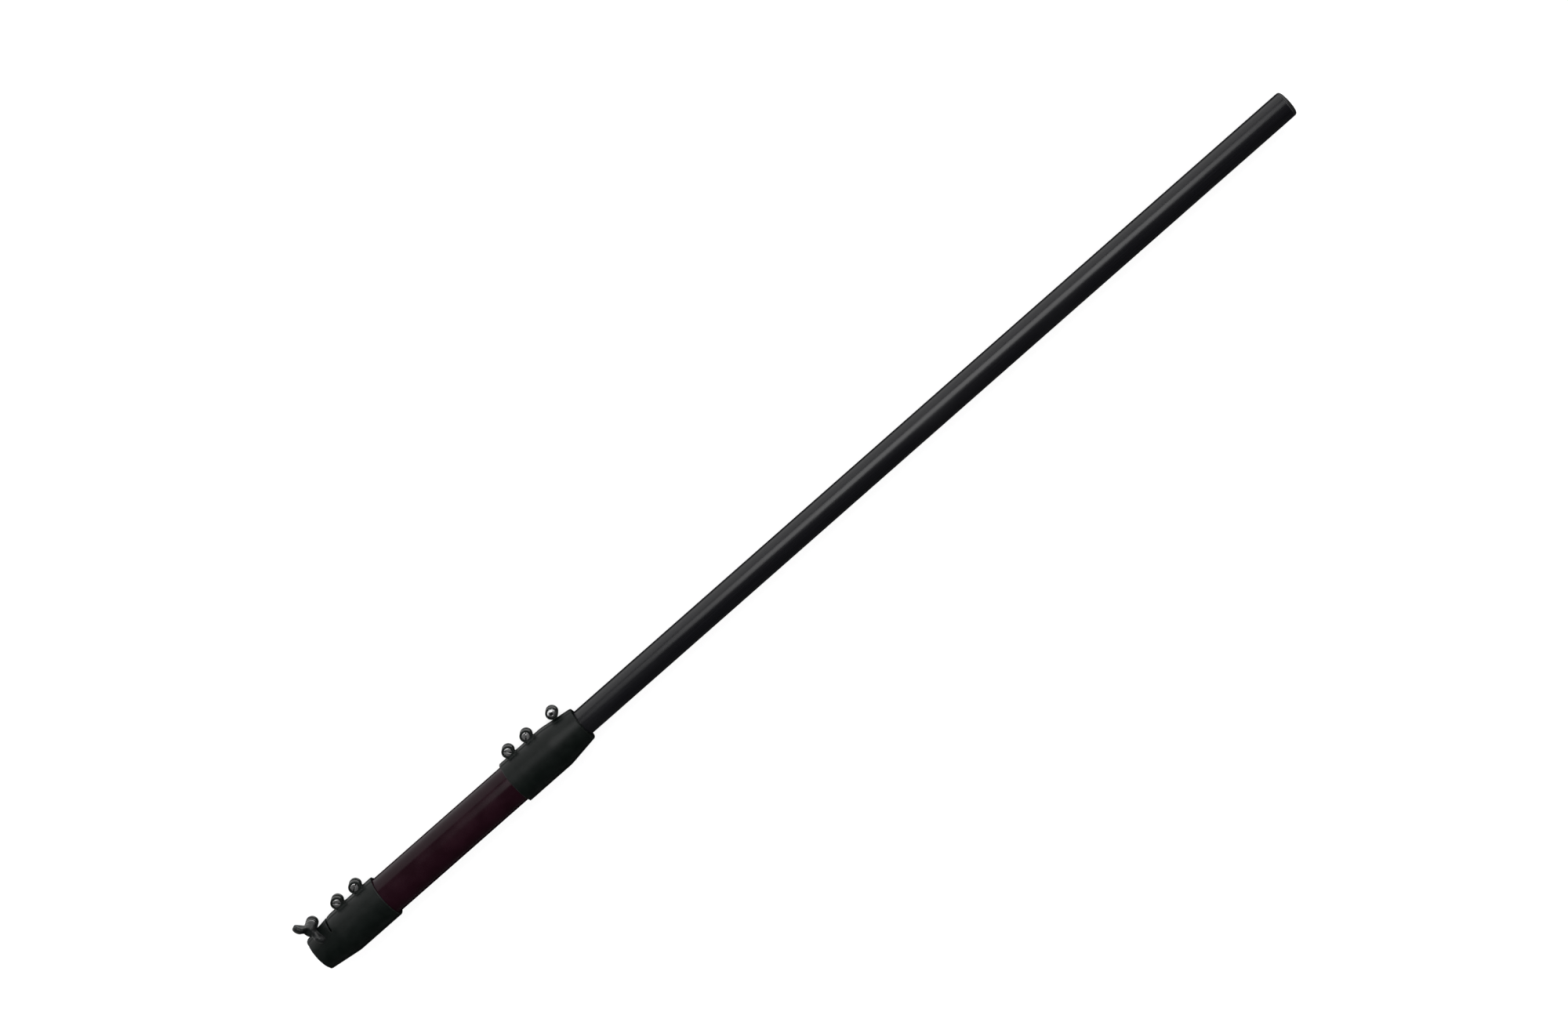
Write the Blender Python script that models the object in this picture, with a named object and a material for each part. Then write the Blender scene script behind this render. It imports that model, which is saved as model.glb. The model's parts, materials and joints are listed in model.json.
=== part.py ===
"""Boom pole section: a one inch tube held in a one and a half inch sleeve by split clamp collars.

The pole lies along X with its tip towards +X. It rests on its two collars and on the front
collar's lugs, so both collar sets are rolled about the pole's axis from a plain frame in which
the lugs point along +Y and the screw heads face +Z.
"""

import math

import bmesh
import bpy
from mathutils import Matrix

MM = 0.001
GAP = 0.3 * MM                      # air between pieces that touch on the real object
PAST = 5 * MM                       # how far a cutter runs beyond what it cuts

# Tubes
TUBE_R = 12.7 * MM                  # one inch tube
TUBE_WALL = 1.5 * MM
TUBE_SHOWN = 829 * MM               # from the front collar's nose to the tip cap
TUBE_HIDDEN = 117 * MM              # from the front collar's nose back into the sleeve
SLEEVE_R = 19.05 * MM               # one and a half inch sleeve
SLEEVE_WALL = 1.6 * MM
SLEEVE_SHOWN = 155 * MM             # between the two collars' mouths
SLEEVE_IN_COLLAR = 50 * MM

# Tip cap
CAP_RIM = 3 * MM
CAP_ROUND = 2.4 * MM
CAP_STEM = 18 * MM
CAP_LEAD = 1 * MM                   # chamfer on the stem's end

# Collar: distances run from the mouth, where the sleeve enters, to the nose
COLLAR_LENGTH = 81 * MM
COLLAR_R = 21 * MM
MOUTH_CHAMFER = 0.8 * MM
TAPER_START = 46.5 * MM
TAPER_BLEND = 40 * MM               # radius of the arc that leads into the taper
TAPER_ANGLE = math.radians(8.05)
NOSE_ROUND = 1.5 * MM
SHOULDER = SLEEVE_IN_COLLAR + 1 * MM
SPLIT_WIDTH = 3 * MM
SPLIT_FLOOR = 8 * MM                # how far from the pole's axis the split starts
RELIEF_AT = 53.8 * MM               # the slit that frees the rear collar's nose from its mouth
RELIEF_WIDTH = 1.5 * MM
RELIEF_FLOOR = 11 * MM              # how far from the pole's axis the slit stops

# Lugs: the round ears along the split
LUG_AT = (14.6 * MM, 36.2 * MM, 67 * MM)
LUG_OUT = 25.7 * MM                 # boss centre from the pole's axis
LUG_R = 5.8 * MM
LUG_HALF = 6.5 * MM                 # from the middle of the split to a lug's face
LUG_FILLET = 2 * MM
LUG_FOOT = (20.8 * MM, 20.8 * MM, 17.2 * MM)
LUG_ROOT = (15 * MM, 15 * MM, 13.9 * MM)
LUG_BEVEL = 0.7 * MM

# Sleeve screws, M4 with slotted cheese heads, and their thin nuts
SCREW_R = 2 * MM
HEAD_R = 3.6 * MM
HEAD_HEIGHT = 2.6 * MM
HEAD_BEVEL = 0.5 * MM
HEAD_FLOOR = 3.9 * MM               # the counterbore's floor above the middle of the split
SLOT_WIDTH = 1.3 * MM
SLOT_DEPTH = 1.5 * MM
SLOT_TURNS = {"front": (-48, 49), "rear": (30, -45)}
NUT_FLATS = 7 * MM
NUT_HEIGHT = 2.2 * MM
SHANK_END = -6.3 * MM

# Clamp screws, M5: a socket button head in front and a wing screw behind
CLAMP_R = 2.5 * MM
CLAMP_NUT_FLATS = 8 * MM
CLAMP_NUT_HEIGHT = 2.7 * MM
BUTTON_R = 4.2 * MM
BUTTON_HEIGHT = 2.7 * MM
BUTTON_RIM = 0.7 * MM               # height of the head's straight side
BUTTON_SHOULDER = (1.9 * MM, 3.5 * MM)      # height and radius halfway up the dome
BUTTON_FLAT_R = 2.4 * MM
SOCKET_FLATS = 3 * MM
SOCKET_DEPTH = 1.7 * MM
BUTTON_WASHER_R = 4.5 * MM
WASHER_THICK = 1 * MM
WING_WASHER_R = 5.6 * MM
HUB_R = 5.9 * MM
HUB_TOP_R = 4 * MM
HUB_STEP = 4 * MM
HUB_TOP = 26 * MM
HUB_BEVEL = (1 * MM, 1.5 * MM)      # down and across the hub's top edge
WING_R = 5 * MM                     # round end of each wing
WING_OUT = 10.4 * MM
WING_UP = 30.5 * MM
WING_THICK = 6 * MM
WING_BEVEL = 1.6 * MM
WING_TURN = math.radians(113)
STUD_TOP = 22 * MM

# Pieces inside the sleeve
BUSH_R = SLEEVE_R - SLEEVE_WALL - GAP
BUSH_LENGTH = 30 * MM
BUSH_LAND = 8 * MM
BUSH_WAIST = 1.2 * MM
RING_R = 14.6 * MM
RING_THICK = 1.1 * MM
RING_OPENING = math.radians(40)
GROOVE_R = 12 * MM
END_LENGTH = 3 * MM                 # tube left behind the rear ring
SOCKET_BUSH_LENGTH = 40 * MM
SOCKET_LIP = 4 * MM
SOCKET_LIP_R = 11 * MM

# Frame: the pole lies on its collars, its box centred on the origin
REAR_ROLL_BACK = math.radians(2)    # the rear collar is clamped this much less rolled
AXIS_Y = -14.8 * MM
AXIS_Z = COLLAR_R
LENGTH = 2 * COLLAR_LENGTH + SLEEVE_SHOWN + TUBE_SHOWN + GAP + CAP_RIM
REAR_NOSE = -LENGTH / 2
REAR_MOUTH = REAR_NOSE + COLLAR_LENGTH
FRONT_MOUTH = REAR_MOUTH + SLEEVE_SHOWN
FRONT_NOSE = FRONT_MOUTH + COLLAR_LENGTH
TUBE_END = FRONT_NOSE - TUBE_HIDDEN
TUBE_TIP = FRONT_NOSE + TUBE_SHOWN

ROUND_STEPS = 48                    # facets round the big turned pieces
SMALL_STEPS = 24

FINISHES = {
    "black_anodised": ((0.022, 0.022, 0.024), 0.38, 0.6),
    "maroon_black": ((0.030, 0.010, 0.014), 0.45, 0.2),
    "charcoal_nylon": ((0.030, 0.033, 0.032), 0.62, 0.0),
    "bright_steel": ((0.70, 0.70, 0.69), 0.28, 1.0),
    "dark_zinc": ((0.060, 0.062, 0.063), 0.50, 0.5),
    "black_plastic": ((0.018, 0.018, 0.019), 0.55, 0.0),
    "white_acetal": ((0.62, 0.61, 0.57), 0.45, 0.0),
}


def clear_scene():
    for item in list(bpy.data.objects):
        bpy.data.objects.remove(item, do_unlink=True)


def material(name):
    made = bpy.data.materials.get(name)
    if made:
        return made
    color, roughness, metallic = FINISHES[name]
    made = bpy.data.materials.new(name)
    made.use_nodes = True
    shader = made.node_tree.nodes["Principled BSDF"]
    shader.inputs["Base Color"].default_value = (*color, 1)
    shader.inputs["Roughness"].default_value = roughness
    shader.inputs["Metallic"].default_value = metallic
    return made


def resting_roll():
    """How far the lugs dip when a collar and its lug's lower edge both touch the floor."""
    edge_out = LUG_OUT + LUG_R - LUG_BEVEL
    reach = math.hypot(edge_out, LUG_HALF)
    return math.pi / 2 - math.atan2(LUG_HALF, edge_out) - math.acos(COLLAR_R / reach)


def axis_frame(name, roll):
    """An empty on the pole's axis: its +Y is the lugs' direction and its +Z the screw heads'."""
    frame = bpy.data.objects.new(name, None)
    frame.location = (0, AXIS_Y, AXIS_Z)
    frame.rotation_euler = (-roll, 0, 0)
    bpy.context.collection.objects.link(frame)
    return frame


def add(name, bm, finish, frame, place=(0, 0, 0), turn=0.0):
    """Make an object of a bmesh; turn is about the object's own Z."""
    mesh = bpy.data.meshes.new(name)
    bmesh.ops.recalc_face_normals(bm, faces=bm.faces)
    bm.to_mesh(mesh)
    bm.free()
    mesh.shade_smooth()
    mesh.set_sharp_from_angle(angle=math.radians(35))
    item = bpy.data.objects.new(name, mesh)
    bpy.context.collection.objects.link(item)
    item.parent = frame
    item.location = place
    item.rotation_euler = (0, 0, turn)
    if finish:
        mesh.materials.append(material(finish))
    else:
        item.hide_render = True
        item.display_type = "WIRE"
    return item


def combine(item, other, operation):
    boolean = item.modifiers.new(other.name, "BOOLEAN")
    boolean.operation = operation
    boolean.object = other
    boolean.solver = "EXACT"


def bevel(item, width, segments=2):
    made = item.modifiers.new("edges", "BEVEL")
    made.width = width
    made.segments = segments
    made.limit_method = "ANGLE"
    made.angle_limit = math.radians(35)


def turned(profile, axis="X", steps=ROUND_STEPS, closed=False, angle=2 * math.pi):
    """Spin (along, radius) points about X or Z. A closed profile makes a ring."""
    bm = bmesh.new()
    if axis == "X":
        points = [(along, radius, 0) for along, radius in profile]
        direction = (1, 0, 0)
    else:
        points = [(radius, 0, along) for along, radius in profile]
        direction = (0, 0, 1)
    verts = [bm.verts.new(point) for point in points]
    if angle < 2 * math.pi:
        geometry = [bm.faces.new(verts)]
    else:
        ends = verts[1:] + verts[:1] if closed else verts[1:]
        geometry = verts + [bm.edges.new(pair) for pair in zip(verts, ends)]
    bmesh.ops.spin(bm, geom=geometry, cent=(0, 0, 0), axis=direction, angle=angle, steps=steps)
    bmesh.ops.remove_doubles(bm, verts=bm.verts, dist=1e-6)
    return bm


def ring_profile(start, end, inner, outer):
    return [(start, inner), (start, outer), (end, outer), (end, inner)]


def rod_profile(start, end, radius):
    return [(start, 0), (start, radius), (end, radius), (end, 0)]


def arc(centre, radius, start, end, steps):
    """Points on an arc, angles in radians, both ends included."""
    angles = [start + (end - start) * i / steps for i in range(steps + 1)]
    return [(centre[0] + radius * math.cos(a), centre[1] + radius * math.sin(a)) for a in angles]


def prism(outline, low, high, upright=False):
    """Extrude an outline along Z, or stand an outline of (out, up) points on the XZ plane."""
    bm = bmesh.new()
    face = bm.faces.new([bm.verts.new((x, y, low)) for x, y in outline])
    extruded = bmesh.ops.extrude_face_region(bm, geom=[face])
    moved = [v for v in extruded["geom"] if isinstance(v, bmesh.types.BMVert)]
    bmesh.ops.translate(bm, verts=moved, vec=(0, 0, high - low))
    if upright:
        bmesh.ops.transform(bm, matrix=Matrix.Rotation(math.pi / 2, 4, "X"), verts=bm.verts)
    return bm


def box(x, y, z):
    """A box from three (low, high) pairs."""
    corners = [(x[0], y[0]), (x[1], y[0]), (x[1], y[1]), (x[0], y[1])]
    return prism(corners, z[0], z[1])


def hexagon(flats, turn=0.0):
    reach = flats / 2 / math.cos(math.radians(30))
    angles = [turn + math.radians(60 * i) for i in range(6)]
    return [(reach * math.cos(a), reach * math.sin(a)) for a in angles]


def hex_nut(flats, low, high, hole_r, steps=24):
    """A hexagonal ring whose flats are divided to match its round hole."""
    bm = bmesh.new()
    loops = []
    for height, is_outer in ((low, True), (high, True), (high, False), (low, False)):
        loop = []
        for i in range(steps):
            angle = 2 * math.pi * i / steps
            from_flat = (angle % math.radians(60)) - math.radians(30)
            radius = flats / 2 / math.cos(from_flat) if is_outer else hole_r
            loop.append(bm.verts.new((radius * math.cos(angle), radius * math.sin(angle), height)))
        loops.append(loop)
    for first, second in zip(loops, loops[1:] + loops[:1]):
        for i in range(steps):
            j = (i + 1) % steps
            bm.faces.new((first[i], first[j], second[j], second[i]))
    return bm


# --- collars ---------------------------------------------------------------------------------


def collar_profile():
    """The collar's outside as (distance from the mouth, radius), on both ends to the axis."""
    blend = arc(
        (TAPER_START, COLLAR_R - TAPER_BLEND), TAPER_BLEND, math.pi / 2, math.pi / 2 - TAPER_ANGLE, 4
    )
    taper_from, taper_r = blend[-1]
    nose_r = taper_r - math.tan(TAPER_ANGLE) * (COLLAR_LENGTH - NOSE_ROUND - taper_from)
    nose = arc(
        (COLLAR_LENGTH - NOSE_ROUND, nose_r - NOSE_ROUND), NOSE_ROUND, math.pi / 2 - TAPER_ANGLE, 0, 4
    )
    mouth = [(0, 0), (0, COLLAR_R - MOUTH_CHAMFER), (MOUTH_CHAMFER, COLLAR_R)]
    return mouth + blend + nose + [(COLLAR_LENGTH, 0)]


def lug_outline(foot, root):
    """A round boss on a filleted neck, centred on x = 0."""
    foot_x = math.sqrt((LUG_R + LUG_FILLET) ** 2 - (foot + LUG_FILLET - LUG_OUT) ** 2)
    rise = math.atan2(LUG_OUT - foot - LUG_FILLET, foot_x)
    left = arc((-foot_x, foot + LUG_FILLET), LUG_FILLET, -math.pi / 2, rise, 4)
    over = arc((0, LUG_OUT), LUG_R, math.pi + rise, -rise, 14)
    right = [(-x, y) for x, y in reversed(left)]
    return [(-foot_x, root)] + left[:-1] + over + right[1:] + [(foot_x, root)]


def collar(name, frame, mouth, side):
    """A split collar whose nose points along +X (side 1) or -X (side -1).

    Only the rear collar, which is opened often, has a slit that frees its nose.
    """

    def station(distance):
        return mouth + side * distance

    def cutter(part, bm, place=(0, 0, 0)):
        combine(body, add(f"{name}_{part}", bm, None, frame, place), "DIFFERENCE")

    outside = [(station(distance), radius) for distance, radius in collar_profile()]
    body = add(name, turned(outside), "charcoal_nylon", frame)
    for i, (at, foot, root) in enumerate(zip(LUG_AT, LUG_FOOT, LUG_ROOT)):
        lug = prism(lug_outline(foot, root), -LUG_HALF, LUG_HALF)
        lug = add(f"{name}_lug_{i + 1}", lug, None, frame, (station(at), 0, 0))
        bevel(lug, LUG_BEVEL, 1)
        combine(body, lug, "UNION")

    bore = [
        (station(-PAST), 0),
        (station(-PAST), SLEEVE_R + GAP),
        (station(SHOULDER), SLEEVE_R + GAP),
        (station(SHOULDER), TUBE_R + GAP),
        (station(COLLAR_LENGTH + PAST), TUBE_R + GAP),
        (station(COLLAR_LENGTH + PAST), 0),
    ]
    cutter("bore", turned(bore))
    along = sorted((station(-PAST), station(COLLAR_LENGTH + PAST)))
    half_split = SPLIT_WIDTH / 2
    lug_tops = LUG_OUT + LUG_R + PAST
    cutter("split", box(along, (SPLIT_FLOOR, lug_tops), (-half_split, half_split)))
    if side < 0:
        slit = sorted((station(RELIEF_AT), station(RELIEF_AT + RELIEF_WIDTH)))
        cutter("relief", box(slit, (RELIEF_FLOOR, lug_tops), (-COLLAR_R - PAST, COLLAR_R + PAST)))
    for i, at in enumerate(LUG_AT):
        cutter(f"hole_{i + 1}", lug_hole(i, side), (station(at), LUG_OUT, 0))
        cutter(f"pocket_{i + 1}", nut_pocket(i), (station(at), LUG_OUT, 0))
    return body


def lug_hole(index, side):
    """A screw hole with its head's counterbore; the wing screw's lug has a plain face."""
    is_clamp = index == 2
    hole_r = (CLAMP_R if is_clamp else SCREW_R) + GAP
    low, high = -LUG_HALF - PAST, LUG_HALF + PAST
    if is_clamp and side < 0:
        return turned(rod_profile(low, high, hole_r), "Z", SMALL_STEPS)
    bore_r = (BUTTON_WASHER_R if is_clamp else HEAD_R) + GAP
    stepped = [(low, 0), (low, hole_r), (HEAD_FLOOR, hole_r)]
    stepped += [(HEAD_FLOOR, bore_r), (high, bore_r), (high, 0)]
    return turned(stepped, "Z", SMALL_STEPS)


def nut_pocket(index):
    is_clamp = index == 2
    flats = CLAMP_NUT_FLATS if is_clamp else NUT_FLATS
    height = CLAMP_NUT_HEIGHT if is_clamp else NUT_HEIGHT
    return prism(hexagon(flats + 2 * GAP), -LUG_HALF - PAST, height + GAP - LUG_HALF)


# --- fasteners -------------------------------------------------------------------------------


def slotted_screw(name, frame, place, turn):
    low = HEAD_FLOOR + GAP
    high = low + HEAD_HEIGHT
    profile = [(SHANK_END, 0), (SHANK_END, SCREW_R), (low, SCREW_R), (low, HEAD_R)]
    profile += [(high - HEAD_BEVEL, HEAD_R), (high, HEAD_R - HEAD_BEVEL), (high, 0)]
    screw = add(name, turned(profile, "Z", SMALL_STEPS), "bright_steel", frame, place, turn)
    reach = HEAD_R + PAST
    half = SLOT_WIDTH / 2
    slot = box((-reach, reach), (-half, half), (high - SLOT_DEPTH, high + PAST))
    combine(screw, add(f"{name}_slot", slot, None, frame, place, turn), "DIFFERENCE")


def sleeve_screws(end, frame, mouth, side):
    for i, slot_turn in enumerate(SLOT_TURNS[end]):
        place = (mouth + side * LUG_AT[i], LUG_OUT, 0)
        slotted_screw(f"{end}_sleeve_screw_{i + 1}", frame, place, math.radians(slot_turn))
        nut = hex_nut(NUT_FLATS, -LUG_HALF, NUT_HEIGHT - LUG_HALF, SCREW_R + GAP)
        add(f"{end}_sleeve_nut_{i + 1}", nut, "bright_steel", frame, place)


def clamp_nut(name, frame, place):
    nut = hex_nut(CLAMP_NUT_FLATS, -LUG_HALF, CLAMP_NUT_HEIGHT - LUG_HALF, CLAMP_R + GAP)
    add(name, nut, "bright_steel", frame, place)


def front_clamp(frame):
    """Socket button screw, washer and nut in the front collar's nose lug."""
    place = (FRONT_MOUTH + LUG_AT[2], LUG_OUT, 0)
    washer_low = HEAD_FLOOR + GAP
    washer = ring_profile(washer_low, washer_low + WASHER_THICK, CLAMP_R + GAP, BUTTON_WASHER_R)
    washer = turned(washer, "Z", SMALL_STEPS, closed=True)
    add("front_clamp_washer", washer, "bright_steel", frame, place)

    low = washer_low + WASHER_THICK + GAP
    high = low + BUTTON_HEIGHT
    shoulder_up, shoulder_r = BUTTON_SHOULDER
    profile = [(SHANK_END, 0), (SHANK_END, CLAMP_R), (low, CLAMP_R), (low, BUTTON_R)]
    profile += [(low + BUTTON_RIM, BUTTON_R), (low + shoulder_up, shoulder_r)]
    profile += [(high, BUTTON_FLAT_R), (high, 0)]
    screw = turned(profile, "Z", SMALL_STEPS)
    screw = add("front_clamp_screw", screw, "bright_steel", frame, place)
    socket = prism(hexagon(SOCKET_FLATS), high - SOCKET_DEPTH, high + PAST)
    combine(screw, add("front_clamp_socket", socket, None, frame, place), "DIFFERENCE")
    clamp_nut("front_clamp_nut", frame, place)


def wing_outline():
    """Both wings as (out, up) points: round ends on arms that rise from the hub."""
    low = LUG_HALF + 2 * GAP + WASHER_THICK + HUB_STEP
    ear = arc((WING_OUT, WING_UP), WING_R, math.radians(-62), math.radians(128), 14)
    right = [(HUB_TOP_R - WING_BEVEL, low)] + ear
    left = [(-out, up) for out, up in reversed(right)]
    return right + [(0, HUB_TOP - WING_BEVEL)] + left


def wing_screw(frame):
    """Wing screw, washer and nut in the rear collar's nose lug."""
    place = (REAR_MOUTH - LUG_AT[2], LUG_OUT, 0)
    washer_low = LUG_HALF + GAP
    washer_high = washer_low + WASHER_THICK
    washer = ring_profile(washer_low, washer_high, CLAMP_R + GAP, WING_WASHER_R)
    washer = turned(washer, "Z", SMALL_STEPS, closed=True)
    add("wing_washer", washer, "bright_steel", frame, place)

    low = washer_high + GAP
    bevel_down, bevel_in = HUB_BEVEL
    hub = [(low, 0), (low, HUB_R), (low + HUB_STEP, HUB_R), (HUB_TOP - bevel_down, HUB_TOP_R)]
    hub += [(HUB_TOP, HUB_TOP_R - bevel_in), (HUB_TOP, 0)]
    grip = add("wing_grip", turned(hub, "Z", SMALL_STEPS), "dark_zinc", frame, place, WING_TURN)
    wings = prism(wing_outline(), -WING_THICK / 2, WING_THICK / 2, upright=True)
    wings = add("wing_grip_wings", wings, None, frame, place, WING_TURN)
    bevel(wings, WING_BEVEL)
    combine(grip, wings, "UNION")
    hole = turned(rod_profile(low - PAST, STUD_TOP + GAP, CLAMP_R + GAP), "Z", SMALL_STEPS)
    combine(grip, add("wing_grip_hole", hole, None, frame, place, WING_TURN), "DIFFERENCE")

    stud = turned(rod_profile(SHANK_END, STUD_TOP, CLAMP_R), "Z", SMALL_STEPS)
    add("wing_stud", stud, "bright_steel", frame, place, WING_TURN)
    clamp_nut("wing_nut", frame, place)


# --- tubes and what they hold ----------------------------------------------------------------


def sleeve(frame):
    start = REAR_MOUTH - SLEEVE_IN_COLLAR
    end = FRONT_MOUTH + SLEEVE_IN_COLLAR
    tube = turned(ring_profile(start, end, SLEEVE_R - SLEEVE_WALL, SLEEVE_R), closed=True)
    add("sleeve_tube", tube, "maroon_black", frame)
    lip_at = start + SOCKET_BUSH_LENGTH - SOCKET_LIP
    bush = [
        (start, TUBE_R + GAP),
        (start, BUSH_R),
        (start + SOCKET_BUSH_LENGTH, BUSH_R),
        (start + SOCKET_BUSH_LENGTH, SOCKET_LIP_R),
        (lip_at, SOCKET_LIP_R),
        (lip_at, TUBE_R + GAP),
    ]
    add("socket_bush", turned(bush, closed=True), "black_plastic", frame)


def inner_tube(frame):
    """The one inch tube with two grooves for the guide bush's rings."""
    bore_r = TUBE_R - TUBE_WALL
    groove_width = RING_THICK + 2 * GAP
    profile = [(TUBE_END, bore_r), (TUBE_END, TUBE_R)]
    for start in (rear_ring_at(), front_ring_at()):
        low = start - GAP
        high = low + groove_width
        profile += [(low, TUBE_R), (low, GROOVE_R), (high, GROOVE_R), (high, TUBE_R)]
    profile += [(TUBE_TIP, TUBE_R), (TUBE_TIP, bore_r)]
    add("inner_tube", turned(profile, closed=True), "black_anodised", frame)


def rear_ring_at():
    return TUBE_END + END_LENGTH


def bush_at():
    return rear_ring_at() + RING_THICK + GAP


def front_ring_at():
    return bush_at() + BUSH_LENGTH + GAP


def guide(frame):
    """The bush that guides the tube's hidden end, between two open retaining rings."""
    start = bush_at()
    end = start + BUSH_LENGTH
    waist_r = BUSH_R - BUSH_WAIST
    profile = [
        (start, TUBE_R + GAP),
        (start, BUSH_R),
        (start + BUSH_LAND, BUSH_R),
        (start + BUSH_LAND + BUSH_WAIST, waist_r),
        (end - BUSH_LAND - BUSH_WAIST, waist_r),
        (end - BUSH_LAND, BUSH_R),
        (end, BUSH_R),
        (end, TUBE_R + GAP),
    ]
    add("guide_bush", turned(profile, closed=True), "white_acetal", frame)
    for name, at in (("guide_ring_rear", rear_ring_at()), ("guide_ring_front", front_ring_at())):
        profile = ring_profile(at, at + RING_THICK, GROOVE_R + GAP, RING_R)
        ring = turned(profile, steps=48, angle=2 * math.pi - RING_OPENING)
        add(name, ring, "bright_steel", frame)


def tip_cap(frame):
    """A domed cap whose stem plugs the tube's open end."""
    stem_r = TUBE_R - TUBE_WALL - GAP
    low = TUBE_TIP + GAP
    start = low - CAP_STEM
    edge = arc((low + CAP_RIM - CAP_ROUND, TUBE_R - CAP_ROUND), CAP_ROUND, math.pi / 2, 0, 5)
    profile = [(start, 0), (start, stem_r - CAP_LEAD), (start + CAP_LEAD, stem_r)]
    profile += [(low, stem_r), (low, TUBE_R)] + edge + [(low + CAP_RIM, 0)]
    add("tip_cap", turned(profile), "black_plastic", frame)


def build():
    clear_scene()
    roll = resting_roll()
    front = axis_frame("front_set", roll)
    rear = axis_frame("rear_set", roll - REAR_ROLL_BACK)
    collar("front_collar", front, FRONT_MOUTH, 1)
    collar("rear_collar", rear, REAR_MOUTH, -1)
    sleeve_screws("front", front, FRONT_MOUTH, 1)
    sleeve_screws("rear", rear, REAR_MOUTH, -1)
    front_clamp(front)
    wing_screw(rear)
    sleeve(front)
    inner_tube(front)
    guide(front)
    tip_cap(front)


build()
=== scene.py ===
"""The boom pole's looks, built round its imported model.

Shapes that a lathe can't make are signed distance fields in millimetres, negative inside the
solid. A net of quads is laid over each field's zero level, thinned where it is flat, and settled
back onto the surface. A collar's fields have their own axes: along the pole from the collar's
mouth, out towards its lugs, and up towards its screw heads.
"""

import json
import math

import bmesh
import bpy
import numpy as np
from mathutils import Matrix, Vector


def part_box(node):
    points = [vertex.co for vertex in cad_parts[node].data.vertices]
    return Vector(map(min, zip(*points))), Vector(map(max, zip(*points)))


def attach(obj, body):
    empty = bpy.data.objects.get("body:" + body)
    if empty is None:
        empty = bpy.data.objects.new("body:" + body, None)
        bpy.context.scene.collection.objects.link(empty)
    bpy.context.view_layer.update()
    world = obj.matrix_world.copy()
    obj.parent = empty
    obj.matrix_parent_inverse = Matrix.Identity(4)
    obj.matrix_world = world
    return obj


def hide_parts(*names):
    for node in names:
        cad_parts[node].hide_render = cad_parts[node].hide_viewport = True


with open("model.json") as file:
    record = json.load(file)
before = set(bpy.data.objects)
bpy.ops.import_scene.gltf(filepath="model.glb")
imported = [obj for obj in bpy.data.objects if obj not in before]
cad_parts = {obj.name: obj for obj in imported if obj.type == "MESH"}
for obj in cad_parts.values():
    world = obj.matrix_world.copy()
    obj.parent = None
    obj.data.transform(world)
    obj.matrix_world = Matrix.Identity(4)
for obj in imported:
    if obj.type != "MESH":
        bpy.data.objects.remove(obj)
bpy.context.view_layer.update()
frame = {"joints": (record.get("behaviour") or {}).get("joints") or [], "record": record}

MM = 0.001
GAP = 0.3                           # air between pieces, in millimetres like all sizes below
JOINTS = {joint["name"]: joint for joint in frame["joints"]}


def middle(node):
    low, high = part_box(node)
    return (low + high) / 2


def half_width(node):
    """A round node's radius in millimetres."""
    low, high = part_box(node)
    return (high.z - low.z) / 2 / MM


AXIS = middle("inner_tube")
TUBE_R = half_width("inner_tube")
SLEEVE_R = half_width("sleeve_tube")
REAR_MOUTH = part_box("rear_collar")[1].x
FRONT_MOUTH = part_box("front_collar")[0].x

# Tubes
TUBE_WALL = 1.5
SLEEVE_WALL = 1.6
GROOVE_R = 12.0                     # floor of the grooves that hold the retaining rings
RING_R = 14.6
RING_SPAN = math.radians(320)
BUSH_LAND = 8
BUSH_WAIST = 1.2                    # how much slimmer the guide bush is in its middle
SOCKET_LIP = 4
SOCKET_LIP_R = 11
CAP_RIM = 3
CAP_SIDE = 0.6                      # straight part of the rim
CAP_ROUND = 2.4
CAP_LEAD = 1                        # chamfer on the stem's end
GATE_R = (1.9, 2.2)                 # mould mark in the cap's face: its floor and its edge
GATE_DEPTH = 0.15
TUBE_FACETS = 160
BUSH_FACETS = 96
SOCKET_FACETS = 128
RING_FACETS = 64

# Collar, from its mouth to its nose
COLLAR_R = 21.0
COLLAR_LENGTH = 81.0
MOUTH_ROUND = 0.8
TAPER_START = 46.5
TAPER_BLEND = 40.0
TAPER_ANGLE = math.radians(8.05)
NOSE_ROUND = 1.5
SHOULDER = 51.0                     # where the sleeve's bore ends
SPLIT_WIDTH = 3.0
SPLIT_FLOOR = 8.0                   # how far from the pole's axis the split starts
RELIEF_AT = 54.55                   # middle of the slit behind the wing screw's lug
RELIEF_WIDTH = 1.5
RELIEF_FLOOR = 11.0
MOULD_EDGE = 0.35                   # radius on the collar's cut edges

# Lugs
LUG_AT = (14.6, 36.2, 67.0)
LUG_OUT = 25.7                      # a boss's middle from the pole's axis
LUG_R = 5.8
LUG_HALF = 6.5                      # from the middle of the split to a lug's face
LUG_FLARE = 2.0                     # fillet between a boss and the barrel, along the pole
LUG_EDGE = 0.9
LUG_FOOT = 1.2                      # fillet between a lug's face and the barrel

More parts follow.
